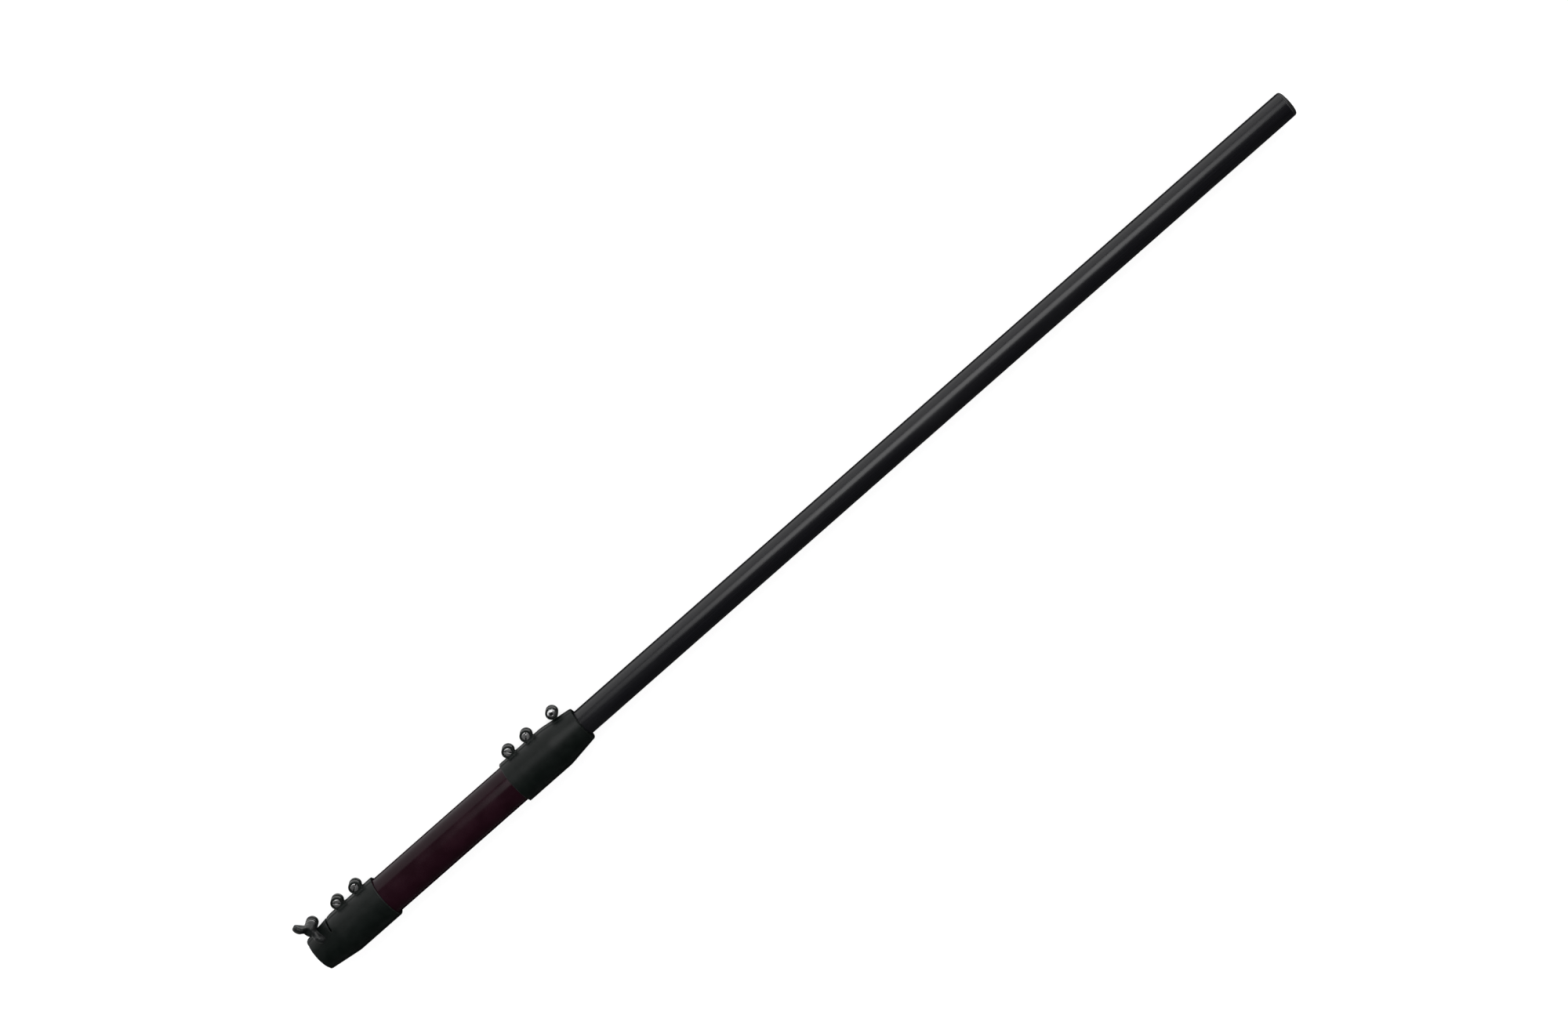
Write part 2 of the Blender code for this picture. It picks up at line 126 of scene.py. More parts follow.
# Fasteners: screws stand on a lug's hole, their heads up
HEAD_FLOOR = 3.9
SHANK_END = -6.3
SLEEVE_SCREW_R = 2.0
SLEEVE_PITCH = 0.7
CHEESE_R = 3.6
CHEESE_HIGH = 6.8
SLOT_WIDTH = 1.3
SLOT_FLOOR = 5.3
SLOT_TURNS = {"front": (-48, 49), "rear": (30, -45)}
SLEEVE_NUT = (7.0, 2.2)             # across flats, height
CLAMP_R = 2.5
CLAMP_PITCH = 0.8
CLAMP_NUT = (8.0, 2.7)
BUTTON_R = 4.2
BUTTON_LOW = 5.5
BUTTON_HIGH = 8.2
BUTTON_DOME = (4.3, 4.6)            # height of the dome's centre, and its radius
SOCKET_FLATS = 3.0
SOCKET_FLOOR = 6.5
BUTTON_WASHER_R = 4.5
WASHER_THICK = 1.0
WING_WASHER_R = 5.6

# Wing grip
HUB_LOW = 8.1
HUB_R = 5.9
HUB_STEP = 4.0
HUB_HIGH = 26.0
HUB_TOP_R = 4.0
WING_OUT = 10.4
WING_UP = 30.5
WING_R = 5.0
WING_HALF = 3.0
WING_TURN = 113
STUD_TOP = 22.0
EAR_ROOT = (1.6, 18.5)              # out and up to where an ear leaves the hub
EAR_ROOT_R = 3.4
WING_ROUND = 2.0
DISH_DEPTH = 0.45                   # the finger hollows in the ears
DISH_WIDTH = 3.0

# Threads
THREAD_DEPTH = 0.54                 # share of the pitch
FLANK_SLOPE = 1.3
CREST_FLAT = 0.15
NUT_RIDGE = 0.25
SCREW_EDGE = 0.15

# Nets: how fine each shape is sampled, in millimetres, and the share of triangles kept
COLLAR_STEP = 0.45
COLLAR_SHARE = 0.3
SMALL_SHARE = 0.35
EASE = 0.7                          # keeps steep fields close to a true distance
SETTLINGS = 3
FLATTEST = 0.05                     # least squared slope that settling divides by
SHARP_FROM = 0.35                   # bend at which an edge starts to count as sharp
SHARP_SPAN = 0.9


# --- signed distances --------------------------------------------------------------------------


def both(a, b, edge):
    """What two shapes share; edge rounds the corner between them."""
    corner = np.hypot(np.maximum(a + edge, 0), np.maximum(b + edge, 0))
    return np.minimum(np.maximum(a, b), -edge) + corner


def either(a, b, fillet):
    return -both(-a, -b, fillet)


def without(a, b, edge):
    return both(a, -b, edge)


def hexagon(x, y, flats):
    """Distance to a hexagonal column whose corners lie on the X axis."""
    x, y = np.abs(x), np.abs(y)
    return np.maximum(y, x * math.cos(math.radians(30)) + y / 2) - flats / 2


def thread(x, y, z, radius, pitch):
    """A right-hand thread whose crests reach the radius."""
    turn = (z / pitch - np.arctan2(y, x) / (2 * math.pi)) % 1
    flank = np.clip(np.abs(2 * turn - 1) * FLANK_SLOPE - CREST_FLAT, 0, 1)
    depth = THREAD_DEPTH * pitch * flank
    return (np.hypot(x, y) - radius + depth) * EASE


def collar_radius(along):
    """The collar's outer radius: straight, an arc, then a straight taper to the nose."""
    bend_length = TAPER_BLEND * math.sin(TAPER_ANGLE)
    bend = np.clip(along - TAPER_START, 0, bend_length)
    taper = np.maximum(along - TAPER_START - bend_length, 0)
    arc = COLLAR_R - TAPER_BLEND + np.sqrt(TAPER_BLEND**2 - bend**2)
    return arc - math.tan(TAPER_ANGLE) * taper


def collar_field(has_wing):
    def field(p):
        along, out, up = p[..., 0], p[..., 1], p[..., 2]
        from_axis = np.hypot(out, up)
        body = from_axis - collar_radius(along)
        body = both(body, -along, MOUTH_ROUND)
        body = both(body, along - COLLAR_LENGTH, NOSE_ROUND)
        solid = body
        for at in LUG_AT:
            boss = np.hypot(along - at, out - LUG_OUT) - LUG_R
            lug = both(either(boss, body, LUG_FLARE), np.abs(up) - LUG_HALF, LUG_EDGE)
            solid = either(solid, lug, LUG_FOOT)
        sleeve_bore = both(from_axis - SLEEVE_R - GAP, along - SHOULDER, 0.01)
        solid = without(solid, sleeve_bore, MOULD_EDGE)
        solid = without(solid, from_axis - TUBE_R - GAP, MOULD_EDGE)
        split = np.maximum(np.abs(up) - SPLIT_WIDTH / 2, SPLIT_FLOOR - out)
        solid = without(solid, split, MOULD_EDGE)
        if has_wing:
            relief = np.maximum(np.abs(along - RELIEF_AT) - RELIEF_WIDTH / 2, RELIEF_FLOOR - out)
            solid = without(solid, relief, MOULD_EDGE)
        for i, at in enumerate(LUG_AT):
            is_clamp = i == 2
            x, y = along - at, out - LUG_OUT
            from_hole = np.hypot(x, y)
            flats, height = CLAMP_NUT if is_clamp else SLEEVE_NUT
            hole = from_hole - GAP - (CLAMP_R if is_clamp else SLEEVE_SCREW_R)
            pocket = np.maximum(hexagon(x, y, flats + 2 * GAP), up + LUG_HALF - height - GAP)
            hole = np.minimum(hole, pocket)
            if not (is_clamp and has_wing):
                head_r = BUTTON_WASHER_R if is_clamp else CHEESE_R
                hole = np.minimum(hole, np.maximum(from_hole - head_r - GAP, HEAD_FLOOR - up))
            solid = without(solid, hole, MOULD_EDGE)
        return solid

    return field


def cheese_screw(p):
    x, y, z = p[..., 0], p[..., 1], p[..., 2]
    radius = np.hypot(x, y)
    head = both(radius - CHEESE_R, z - CHEESE_HIGH, 0.5)
    head = both(head, HEAD_FLOOR + GAP - z, SCREW_EDGE)
    slot = np.maximum(np.abs(y) - SLOT_WIDTH / 2, SLOT_FLOOR - z)
    head = without(head, slot, SCREW_EDGE)
    shank = both(thread(x, y, z, SLEEVE_SCREW_R, SLEEVE_PITCH), np.abs(z) + SHANK_END, 0.4)
    return either(head, shank, 0.2)


def button_screw(p):
    x, y, z = p[..., 0], p[..., 1], p[..., 2]
    radius = np.hypot(x, y)
    dome_up, dome_r = BUTTON_DOME
    dome = np.hypot(radius, z - dome_up) - dome_r
    head = both(dome, radius - BUTTON_R, 0.3)
    head = both(head, np.maximum(z - BUTTON_HIGH, BUTTON_LOW - z), 0.25)
    socket = np.maximum(hexagon(x, y, SOCKET_FLATS), SOCKET_FLOOR - z)
    head = without(head, socket, SCREW_EDGE)
    shank = both(thread(x, y, z, CLAMP_R, CLAMP_PITCH), np.abs(z) + SHANK_END, 0.5)
    return either(head, shank, 0.2)


def wing_grip(p):
    """A tapering hub with two round ears, in the plane of X and Z."""
    x, y, z = p[..., 0], p[..., 1], p[..., 2]
    radius = np.hypot(x, y)
    rise = np.clip((z - HUB_LOW - HUB_STEP) / (HUB_HIGH - HUB_LOW - HUB_STEP), 0, 1)
    hub = both(radius - HUB_R + (HUB_R - HUB_TOP_R) * rise, z - HUB_HIGH, 1.4)
    hub = both(hub, HUB_LOW - z, 0.5)
    root_out, root_up = EAR_ROOT
    out, up = np.abs(x), z
    run = np.array((WING_OUT - root_out, WING_UP - root_up))
    share = ((out - root_out) * run[0] + (up - root_up) * run[1]) / (run @ run)
    share = np.clip(share, 0, 1)
    ear = np.hypot(out - root_out - share * run[0], up - root_up - share * run[1])
    ear = ear - EAR_ROOT_R - (WING_R - EAR_ROOT_R) * share**2
    from_dish = (out - WING_OUT) ** 2 + (up - WING_UP) ** 2
    dish = DISH_DEPTH * np.exp(-from_dish / DISH_WIDTH**2)
    wings = both(ear, np.abs(y) - WING_HALF + dish, WING_ROUND)
    grip = either(hub, wings, WING_ROUND)
    hole = np.maximum(radius - CLAMP_R - GAP, z - STUD_TOP - GAP)
    return without(grip, hole, 0.2)


def wing_stud(p):
    x, y, z = p[..., 0], p[..., 1], p[..., 2]
    cut = thread(x, y, z, CLAMP_R, CLAMP_PITCH)
    plain = np.maximum(np.hypot(x, y) - CLAMP_R, HUB_LOW - GAP - z)
    return both(both(np.minimum(cut, plain), SHANK_END - z, 0.5), z - STUD_TOP, 0.3)


def nut_field(flats, height, bore_r, pitch):
    def field(p):
        x, y, z = p[..., 0], p[..., 1], p[..., 2] + LUG_HALF
        radius = np.hypot(x, y)
        chamfer = (radius - flats / 2 + np.abs(z - height / 2) - height / 2 - 0.15) * EASE
        body = both(hexagon(x, y, flats), np.abs(z - height / 2) - height / 2, 0.15)
        body = both(body, chamfer, 0.1)
        ridge = NUT_RIDGE * np.abs(2 * ((z / pitch - np.arctan2(y, x) / (2 * math.pi)) % 1) - 1)
        return without(body, radius - bore_r + ridge, 0.12)

    return field


# --- meshes ------------------------------------------------------------------------------------


def slope(field, points):
    """The field's gradient, by steps of a fiftieth of a millimetre."""
    reach = 0.02
    return np.stack(
        [field(points + reach * side) - field(points - reach * side) for side in np.eye(3)], axis=-1
    ) / (2 * reach)


def settle(field, points, most):
    """Slide points down the field onto its zero level, at most that many millimetres a time."""
    for _ in range(SETTLINGS):
        steep = slope(field, points)
        push = field(points) / np.maximum((steep**2).sum(-1), FLATTEST)
        move = steep * push[:, None]
        length = np.linalg.norm(move, axis=1, keepdims=True)
        points = points - move * np.minimum(1, most / np.maximum(length, 1e-9))
    return points


def sharpness(field, points):
    """1 on narrow outer edges and 0 on flats and in corners."""
    reach = 0.35
    around = sum(field(points + reach * side) + field(points - reach * side) for side in np.eye(3))
    bend = (around - 6 * field(points)) / reach**2
    return np.clip((bend - SHARP_FROM) / SHARP_SPAN, 0, 1)


def net(field, low, high, step):
    """Corners and quads of a net over the field's zero level."""
    low = np.array(low, float)
    counts = np.ceil((np.array(high) - low) / step).astype(int) + 1
    places = np.stack(np.meshgrid(*[np.arange(n) for n in counts], indexing="ij"), axis=-1)
    places = low + places * step
    value = field(places)
    cells = tuple(counts - 1)
    total, hits = np.zeros((*cells, 3)), np.zeros(cells)
    for axis in range(3):
        start = tuple(slice(0, -1) if i == axis else slice(None) for i in range(3))
        end = tuple(slice(1, None) if i == axis else slice(None) for i in range(3))
        crossed = (value[start] < 0) != (value[end] < 0)
        share = np.where(crossed, value[start] / np.where(crossed, value[start] - value[end], 1), 0)
        point = (places[start] + share[..., None] * step * np.eye(3)[axis]) * crossed[..., None]
        u, v = [i for i in range(3) if i != axis]
        for du in (0, 1):
            for dv in (0, 1):
                window = [slice(None)] * 3
                window[u] = slice(du, du + cells[u])
                window[v] = slice(dv, dv + cells[v])
                total += point[tuple(window)]
                hits += crossed[tuple(window)]
    active = hits > 0
    number = np.full(cells, -1)
    number[active] = np.arange(active.sum())
    quads = []
    for axis in range(3):
        u, v = (axis + 1) % 3, (axis + 2) % 3
        start = tuple(slice(0, -1) if i == axis else slice(1, -1) for i in range(3))
        end = tuple(slice(1, None) if i == axis else slice(1, -1) for i in range(3))
        leaving = value[start] < 0
        for edges, order in ((leaving & (value[end] >= 0), 1), (~leaving & (value[end] < 0), -1)):
            found = np.argwhere(edges)
            found[:, [u, v]] += 1
            ring = []
            for du, dv in ((-1, -1), (0, -1), (0, 0), (-1, 0)):
                cell = found.copy()
                cell[:, u] += du
                cell[:, v] += dv
                ring.append(number[tuple(cell.T)])
            quads.append(np.stack(ring[::order], axis=-1))
    return total[active] / hits[active][:, None], np.concatenate(quads)


def thinned(mesh, share):
    """The mesh with that share of its triangles, fewest where it is flat."""
    item = bpy.data.objects.new("thinned", mesh)
    bpy.context.scene.collection.objects.link(item)
    item.modifiers.new("thin", "DECIMATE").ratio = share
    scene_now = bpy.context.evaluated_depsgraph_get()
    made = bpy.data.meshes.new_from_object(item.evaluated_get(scene_now))
    bpy.data.objects.remove(item)
    return made


def upright_box(reach, low, high):
    """A box round the Z axis, in millimetres."""
    return (-reach, -reach, low), (reach, reach, high)


def carved(field, low, high, step, share=SMALL_SHARE, side=1, fit=None):
    """A mesh in metres of the solid in a box of millimetres.

    Side -1 mirrors it along X, and no corner leaves the box that it has to fit.
    """
    corners, quads = net(field, low, high, step)
    corners = settle(field, corners, step)
    mesh = bpy.data.meshes.new("carved")
    mesh.from_pydata(corners, [], quads.tolist())
    mesh = thinned(mesh, share)
    corners = np.zeros(len(mesh.vertices) * 3)
    mesh.vertices.foreach_get("co", corners)
    corners = settle(field, corners.reshape(-1, 3), step / 2)
    if fit:
        corners = np.clip(corners, *fit)
    normals = slope(field, corners)
    normals /= np.maximum(np.linalg.norm(normals, axis=1, keepdims=True), 1e-9)
    edge = sharpness(field, corners)
    mirror = np.array((side, 1, 1))
    mesh.vertices.foreach_set("co", (corners * mirror * MM).ravel())
    if side < 0:
        mesh.flip_normals()
    mesh.attributes.new("edge", "FLOAT", "POINT").data.foreach_set("value", edge)
    mesh.shade_smooth()
    mesh.normals_split_custom_set_from_vertices(normals * mirror)
    return mesh


def rounded(corners, radius, closed=True, steps=4):
    """An outline of (along, from the axis, edge), its corners rounded, edge 1 on the rounding."""
    outline = []
    count = len(corners)
    for i, corner in enumerate(corners):
        here = Vector(corner)
        if not closed and i in (0, count - 1):
            outline.append((*here, 0.0))
            continue
        before = Vector(corners[i - 1]) - here
        after = Vector(corners[(i + 1) % count]) - here
        half = before.angle(after) / 2
        reach = min(radius / math.tan(half), before.length * 0.49, after.length * 0.49)
        first, last = before.normalized() * reach, after.normalized() * reach
        for k in range(steps + 1):
            t = k / steps
            point = here + first * (1 - t) ** 2 + last * t**2
            outline.append((*point, 1.0 if 0 < k < steps else 0.0))
    return outline


def turned(outline, steps, closed=True, span=2 * math.pi):
    """Turn an outline in millimetres about X; one that isn't closed starts and ends on the axis."""
    bm = bmesh.new()
    edge_layer = bm.verts.layers.float.new("edge")
    is_whole = span > 2 * math.pi - 1e-6
    rings = []
    for i in range(steps if is_whole else steps + 1):
        angle = span * i / steps
        ring = []
        for along, radius, edge in outline:
            out, up = radius * MM * math.cos(angle), radius * MM * math.sin(angle)
            vert = bm.verts.new((along * MM, out, up))
            vert[edge_layer] = edge
            ring.append(vert)
        rings.append(ring)
    pairs = list(zip(rings, rings[1:]))
    if is_whole:
        pairs.append((rings[-1], rings[0]))
    count = len(outline)
    for one, two in pairs:
        for i in range(count if closed else count - 1):
            j = (i + 1) % count
            bm.faces.new((one[i], one[j], two[j], two[i]))
    if not is_whole:
        bm.faces.new(rings[0])
        bm.faces.new(rings[-1])
    bmesh.ops.remove_doubles(bm, verts=bm.verts, dist=1e-7)
    bmesh.ops.recalc_face_normals(bm, faces=bm.faces)
    mesh = bpy.data.meshes.new("turned")
    bm.to_mesh(mesh)
    bm.free()
    mesh.shade_smooth()
    mesh.set_sharp_from_angle(angle=math.radians(40))
    return mesh


def ring(start, end, inner, outer, edge, steps=96, span=2 * math.pi):
    corners = [(start, inner), (start, outer), (end, outer), (end, inner)]
    return turned(rounded(corners, edge), steps, span=span)


# --- materials ---------------------------------------------------------------------------------


class Graph:
    """A material's nodes, built from the pattern to the shader."""

    def __init__(self, name):
        self.material = bpy.data.materials.new(name)
        self.material.use_nodes = True
        self.tree = self.material.node_tree
        self.shader = self.tree.nodes["Principled BSDF"]
        self.place = self.node("TexCoord").outputs["Object"]

    def connect(self, socket, value):
        if isinstance(value, bpy.types.NodeSocket):
            self.tree.links.new(value, socket)
        else:
            socket.default_value = value

    def node(self, kind, inputs=None, **settings):
        made = self.tree.nodes.new("ShaderNode" + kind)
        for key, value in settings.items():
            setattr(made, key, value)
        for key, value in (inputs or {}).items():
            self.connect(made.inputs[key], value)
        return made

    def stretched(self, scale):
        return self.node("Mapping", {"Vector": self.place, "Scale": scale}).outputs["Vector"]

    def noise(self, size_mm, detail=3.0, place=None):
        """Noise whose spots are about that many millimetres across."""
        inputs = {"Vector": place or self.place, "Scale": 1 / (size_mm * MM), "Detail": detail}
        return self.node("TexNoise", inputs).outputs["Fac"]

    def spread(self, value, low, high, to_low=0.0, to_high=1.0):
        inputs = {"Value": value, "From Min": low, "From Max": high}
        inputs |= {"To Min": to_low, "To Max": to_high}
        return self.node("MapRange", inputs).outputs["Result"]

    def math(self, operation, a, b=0.0):
        return self.node("Math", {0: a, 1: b}, operation=operation).outputs[0]

    def mix(self, factor, a, b):
        made = self.node("Mix", {0: factor, 6: a, 7: b}, data_type="RGBA")
        return made.outputs[2]

    def edges(self, breakup_mm):
        """The worn share of the surface: outer edges, broken up by noise."""
        edge = self.node("Attribute", attribute_name="edge").outputs["Fac"]
        patchy = self.spread(self.noise(breakup_mm), 0.35, 0.65)
        return self.math("MULTIPLY", edge, patchy)

    def finish(self, color, roughness, bump=None, depth_mm=0.05, **fixed):
        self.connect(self.shader.inputs["Base Color"], color)
        self.connect(self.shader.inputs["Roughness"], roughness)
        if bump is not None:
            inputs = {"Height": bump, "Distance": depth_mm * MM, "Strength": 1.0}
            self.connect(self.shader.inputs["Normal"], self.node("Bump", inputs).outputs["Normal"])
        for key, value in fixed.items():
            self.connect(self.shader.inputs[key.replace("_", " ")], value)
        return self.material


def shade(red, green, blue):
    return (red, green, blue, 1.0)


def tube_finish():
    """Black anodised aluminium: fine die lines along the tube, a few rubbed patches."""
    g = Graph("black_anodised")
    lines = g.noise(0.35, 4.0, g.stretched((0.004, 1, 1)))
    rubs = g.noise(28.0, 4.0, g.stretched((0.3, 1, 1)))
    grain = g.noise(0.12, 2.0)
    dark, light = shade(0.0018, 0.0018, 0.0024), shade(0.0032, 0.0032, 0.0042)
    color = g.mix(g.spread(lines, 0.3, 0.7), dark, light)
    color = g.mix(g.spread(rubs, 0.55, 0.8, 0, 0.5), color, shade(0.006, 0.006, 0.0068))
    color = g.mix(g.edges(2.0), color, shade(0.16, 0.16, 0.165))
    satin = g.spread(lines, 0.3, 0.7, 0.24, 0.32)
    rough = g.math("ADD", satin, g.spread(rubs, 0.45, 0.8, 0, 0.06))
    bump = g.math("ADD", g.math("MULTIPLY", lines, 0.8), g.math("MULTIPLY", grain, 0.2))
    return g.finish(color, rough, bump, 0.004, Specular_IOR_Level=0.42)


def sleeve_finish():
    """A satin, very dark maroon lacquer over the sleeve."""
    g = Graph("maroon_black")
    clouds = g.noise(18.0, 4.0)
    grain = g.noise(0.5, 3.0)
    dark, light = shade(0.0058, 0.0013, 0.0027), shade(0.0082, 0.0021, 0.0041)
    color = g.mix(g.spread(clouds, 0.35, 0.65), dark, light)
    color = g.mix(g.edges(2.0), color, shade(0.1, 0.09, 0.09))
    rough = g.spread(clouds, 0.3, 0.7, 0.2, 0.27)
    return g.finish(color, rough, grain, 0.006, Specular_IOR_Level=0.15)


def collar_finish():
    """Moulded charcoal nylon with a spark-eroded grain and paler, rubbed edges."""
    g = Graph("charcoal_nylon")
    clouds = g.noise(9.0, 4.0)
    grain = g.noise(0.45, 4.0)
    dark, light = shade(0.0016, 0.0025, 0.0021), shade(0.0028, 0.0038, 0.0034)
    color = g.mix(g.spread(clouds, 0.35, 0.65), dark, light)
    rubbed = g.math("MULTIPLY", g.edges(1.6), 0.4)
    color = g.mix(rubbed, color, shade(0.024, 0.026, 0.025))
    rough = g.spread(grain, 0.3, 0.7, 0.36, 0.48)
    return g.finish(color, rough, grain, 0.03, Specular_IOR_Level=0.2)


def steel_finish():
    """Bright zinc-plated steel, turned, with dull specks and painted shade in its recesses."""
    g = Graph("bright_steel")
    place = g.stretched((1, 1, 8))
    lines = g.noise(0.25, 3.0, place)
    specks = g.noise(0.9, 5.0)
    color = g.mix(g.spread(specks, 0.55, 0.75), shade(0.74, 0.745, 0.75), shade(0.5, 0.5, 0.49))
    color = g.mix(g.edges(1.0), color, shade(0.85, 0.85, 0.85))
    # Painted shade: the colour goes towards black where the screw's own surface closes round a
    # point, as in its slot, socket and thread roots.
    painted_recess_shade = g.node("AmbientOcclusion", {"Distance": 2.5 * MM}, only_local=True).outputs["AO"]
    color = g.mix(g.spread(painted_recess_shade, 0.45, 0.95), shade(0.03, 0.03, 0.03), color)
    polish = g.spread(lines, 0.3, 0.7, 0.26, 0.36)
    rough = g.math("ADD", polish, g.spread(specks, 0.55, 0.75, 0, 0.15))
    return g.finish(color, rough, lines, 0.006, Metallic=1.0)


def wing_finish():
    """Die-cast zinc under a dark satin coat that has rubbed through on its edges."""
    g = Graph("dark_die_cast")
    clouds = g.noise(3.0, 4.0)
    grain = g.noise(0.3, 3.0)
    dark, light = shade(0.0022, 0.0028, 0.0028), shade(0.0045, 0.0052, 0.0052)
    color = g.mix(g.spread(clouds, 0.35, 0.65), dark, light)
    color = g.mix(g.math("MULTIPLY", g.edges(1.2), 0.5), color, shade(0.12, 0.12, 0.12))
    rough = g.spread(clouds, 0.3, 0.7, 0.36, 0.5)
    return g.finish(color, rough, grain, 0.02, Specular_IOR_Level=0.2)


def plastic_finish(name, dark, light, roughness):
    """Turned or moulded plastic with faint clouds and a fine grain."""
    g = Graph(name)
    clouds = g.noise(6.0, 3.0)
    grain = g.noise(0.3, 3.0)
    color = g.mix(g.spread(clouds, 0.35, 0.65), dark, light)
    rough = g.spread(grain, 0.3, 0.7, roughness - 0.06, roughness + 0.06)
    return g.finish(color, rough, grain, 0.012)


FINISHES = {
    "tube_finish": tube_finish(),
    "sleeve_finish": sleeve_finish(),
    "collar_plastic": collar_finish(),
    "bright_steel": steel_finish(),
    "wing_finish": wing_finish(),
    "black_plastic": plastic_finish(
        "black_plastic", shade(0.006, 0.006, 0.0062), shade(0.009, 0.009, 0.0094), 0.42
    ),
    "white_plastic": plastic_finish(
        "white_acetal", shade(0.66, 0.65, 0.61), shade(0.72, 0.71, 0.68), 0.4
    ),
}


# --- pieces ------------------------------------------------------------------------------------

BODIES = frame["record"]["behaviour"]["bodies"]
BODY_OF = {node: body for body, nodes in BODIES.items() for node in nodes}


def piece(node, mesh, slot, place):
    """A shown piece that stands for a CAD node and rides on that node's body."""
    item = bpy.data.objects.new(node + "_shape", mesh)
    bpy.context.scene.collection.objects.link(item)
    item.matrix_world = place
    if not mesh.materials:
        mesh.materials.append(FINISHES[slot])
    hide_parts(node)
    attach(item, BODY_OF[node])
    return item


def collar_place(mouth_x, joint):
    """A collar's own axes: X along the pole, Y out to the lugs and Z along its clamp screw."""
    up = Vector(JOINTS[joint]["axis"]).normalized()
    out = up.cross(Vector((1, 0, 0)))
    turn = Matrix((Vector((1, 0, 0)), out, up)).transposed().to_4x4()
    return Matrix.Translation((mouth_x, AXIS.y, AXIS.z)) @ turn


def lug_place(collar, side, index, degrees=0):
    spot = Matrix.Translation((side * LUG_AT[index] * MM, LUG_OUT * MM, 0))
    return collar @ spot @ Matrix.Rotation(math.radians(degrees), 4, "Z")


def upright(mesh):
    """Stand a mesh that was turned about X up along Z."""
    mesh.transform(Matrix.Rotation(-math.pi / 2, 4, "Y"))
    return mesh


def collars():
    low, high = (-1.5, -22.5, -22.5), (82.5, 33.0, 22.5)
    fit = (0, -COLLAR_R, -COLLAR_R), (COLLAR_LENGTH, LUG_OUT + LUG_R, COLLAR_R)
    cheese = carved(cheese_screw, *upright_box(4.2, -7.0, 7.4), 0.15)
    field = nut_field(*SLEEVE_NUT, SLEEVE_SCREW_R + GAP, SLEEVE_PITCH)
    sleeve_nut = carved(field, *upright_box(4.6, -7.1, -3.7), 0.17)
    field = nut_field(*CLAMP_NUT, CLAMP_R + GAP, CLAMP_PITCH)
    clamp_nut = carved(field, *upright_box(5.2, -7.1, -3.2), 0.18)
    ends = (("front", FRONT_MOUTH, 1, "clamp_screw_turn"), ("rear", REAR_MOUTH, -1, "wing_turn"))
    for end, mouth_x, side, joint in ends:
        place = collar_place(mouth_x, joint)
        field = collar_field(end == "rear")
        body = carved(field, low, high, COLLAR_STEP, COLLAR_SHARE, side, fit)
        piece(f"{end}_collar", body, "collar_plastic", place)
        for i, degrees in enumerate(SLOT_TURNS[end]):
            turned_spot, spot = lug_place(place, side, i, degrees), lug_place(place, side, i)
            piece(f"{end}_sleeve_screw_{i + 1}", cheese, "bright_steel", turned_spot)
            piece(f"{end}_sleeve_nut_{i + 1}", sleeve_nut, "bright_steel", spot)
        nut = "wing_nut" if end == "rear" else "front_clamp_nut"
        piece(nut, clamp_nut, "bright_steel", lug_place(place, side, 2))


def washer(low, outer):
    return upright(ring(low, low + WASHER_THICK, CLAMP_R + GAP, outer, 0.25, RING_FACETS))


def front_clamp():
    place = lug_place(collar_place(FRONT_MOUTH, "clamp_screw_turn"), 1, 2)
    screw = carved(button_screw, *upright_box(4.8, -7.0, 8.8), 0.16)
    piece("front_clamp_screw", screw, "bright_steel", place)
    under_head = washer(HEAD_FLOOR + GAP, BUTTON_WASHER_R)
    piece("front_clamp_washer", under_head, "bright_steel", place)


def wing():
    place = lug_place(collar_place(REAR_MOUTH, "wing_turn"), -1, 2, WING_TURN)
    grip = carved(wing_grip, (-16.4, -6.8, 7.4), (16.4, 6.8, 36.4), 0.3)
    piece("wing_grip", grip, "wing_finish", place)
    stud = carved(wing_stud, *upright_box(3.2, -7.0, 22.8), 0.18)
    piece("wing_stud", stud, "bright_steel", place)
    piece("wing_washer", washer(LUG_HALF + GAP, WING_WASHER_R), "bright_steel", place)


def span_of(node):
    """A node's ends along the pole, in millimetres."""
    low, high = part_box(node)
    return low.x / MM, high.x / MM


